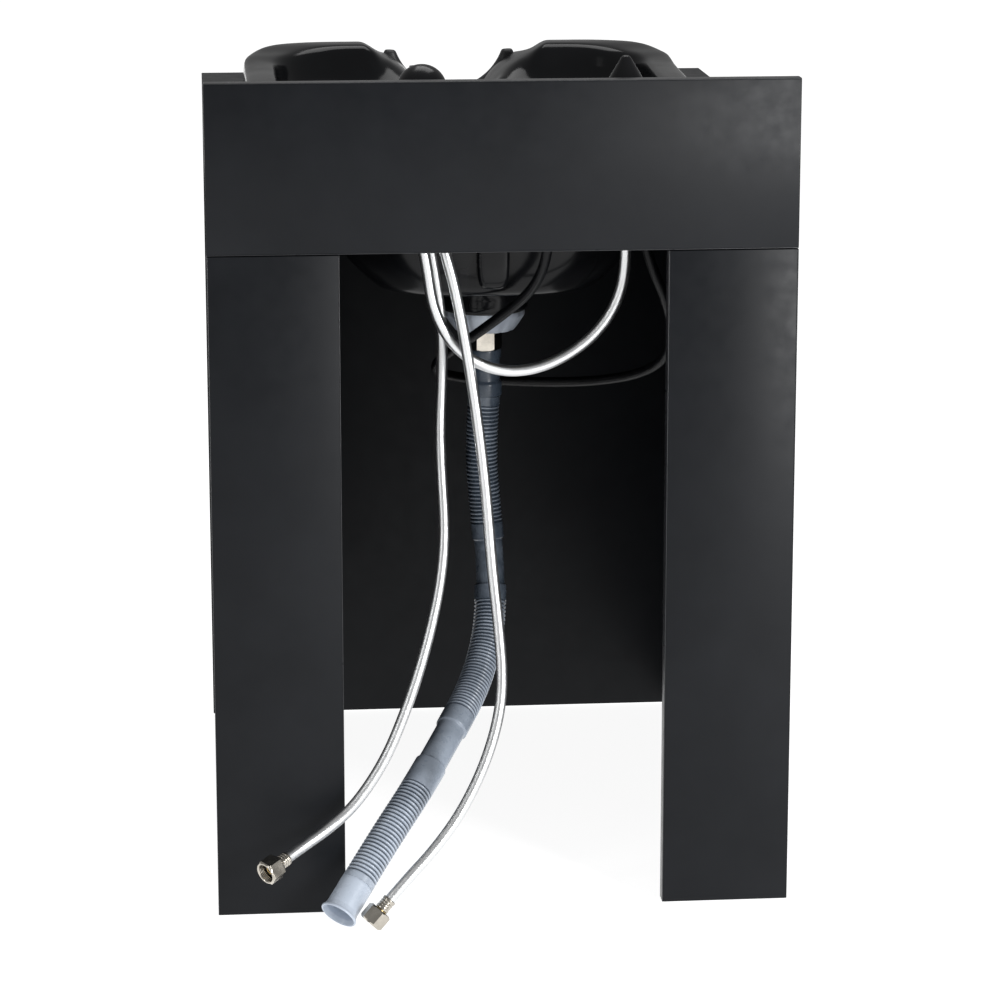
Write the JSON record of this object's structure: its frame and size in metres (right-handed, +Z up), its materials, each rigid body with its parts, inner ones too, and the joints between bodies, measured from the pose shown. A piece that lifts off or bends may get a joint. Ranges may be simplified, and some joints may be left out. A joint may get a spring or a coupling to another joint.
{
  "type": "shampoo backwash unit",
  "caption": "Salon backwash: black panel cabinet with a moulded wash bowl, lever mixer, vacuum breaker, pull-out shower, braided hoses and a corrugated waste hose.",
  "frame": {"origin": "centre of the unit's footprint on the floor, without the free hoses", "axes": "+Z up, +X to the right seen from the stylist's service side, +Y from the service side to the client's side"},
  "size_m": [0.6, 0.8663, 0.886],
  "materials": {
    "melamine": "satin",
    "bowl_plastic": "gloss",
    "soft_black": "matte",
    "black_rubber": "matte",
    "stainless": "satin",
    "zinc_steel": "satin",
    "black_steel": "satin",
    "nickel": "gloss",
    "brass": "satin",
    "braid": "satin",
    "black_hose": "gloss",
    "grey_plastic": "matte",
    "pale_plastic": "satin",
    "black_gloss": "gloss",
    "grey_liner": "matte"
  },
  "bodies": {
    "unit": {"back_apron": "melamine", "apron_edge_bands": "melamine", "back_leg_left": "melamine", "back_leg_right": "melamine", "leg_edge_bands": "melamine", "side_panel_left": "melamine", "side_panel_right": "melamine", "front_panel": "melamine", "deck_board": "melamine", "deck_edge_strips": "melamine", "angle_brackets": "black_steel", "bracket_screws": "black_steel", "bowl": "bowl_plastic", "neck_rest_pad": "soft_black", "drain_flange": "stainless", "drain_gasket": "black_rubber", "drain_locknut": "pale_plastic", "tail_nut": "nickel", "drain_coupling": "grey_plastic", "drain_hose": "grey_plastic", "drain_hose_cuff": "grey_plastic", "mixer_gasket": "black_rubber", "mixer_body": "black_gloss", "mixer_cartridge": "grey_liner", "mixer_bonnet": "black_gloss", "mixer_washer": "zinc_steel", "mixer_nut": "brass", "mixer_ferrules": "nickel", "breaker_body": "black_gloss", "breaker_bonnet": "black_gloss", "breaker_washer": "zinc_steel", "breaker_nut": "brass", "breaker_ferrules": "nickel", "shower_bushing": "black_gloss", "shower_washer": "zinc_steel", "shower_nut": "brass", "supply_hose_left": "braid", "supply_hose_right": "braid", "outlet_hose": "braid", "spray_hose": "black_hose", "supply_ferrule_left": "nickel", "supply_ferrule_right": "nickel", "supply_tail_left": "brass", "supply_tail_right": "brass", "supply_washer_left": "black_rubber", "supply_washer_right": "black_rubber"},
    "hair_basket": {"hair_basket": "stainless"},
    "mixer_carrier": {"mixer_carrier": "grey_liner"},
    "mixer_lever": {"mixer_stem": "brass", "mixer_lever": "black_gloss"},
    "breaker_poppet": {"breaker_poppet": "grey_liner"},
    "hand_shower": {"hand_shower_body": "black_gloss", "hand_shower_face": "grey_liner", "hand_shower_collar": "black_gloss"},
    "supply_nut_left": {"supply_nut_left": "nickel"},
    "supply_nut_right": {"supply_nut_right": "nickel"}
  },
  "joints": [
    {"name": "mixer_temperature", "type": "hinge", "parent": "unit", "child": "mixer_carrier", "pos_m": [-0.078, -0.312, 0.853], "axis": [0, 0, 1], "range_deg": [-45, 45]},
    {"name": "mixer_lift", "type": "hinge", "parent": "mixer_carrier", "child": "mixer_lever", "pos_m": [-0.078, -0.312, 0.853], "axis": [1, 0, 0], "range_deg": [0, 22]},
    {"name": "hand_shower_pull", "type": "slide", "parent": "unit", "child": "hand_shower", "axis": [0, 0, 1], "range_m": [0, 0.45]},
    {"name": "hair_basket_lift", "type": "slide", "parent": "unit", "child": "hair_basket", "axis": [0, 0, 1], "range_m": [0, 0.25]},
    {"name": "breaker_float", "type": "slide", "parent": "unit", "child": "breaker_poppet", "axis": [0, 0, 1], "range_m": [0, 0.01]},
    {"name": "supply_nut_left_turn", "type": "hinge", "parent": "unit", "child": "supply_nut_left", "pos_m": [-0.23902, -0.45497, 0.0767], "axis": [-0.7157, -0.6404, -0.2787], "continuous": true},
    {"name": "supply_nut_right_turn", "type": "hinge", "parent": "unit", "child": "supply_nut_right", "pos_m": [-0.13342, -0.45798, 0.02608], "axis": [-0.673, -0.2125, -0.7084], "continuous": true}
  ]
}
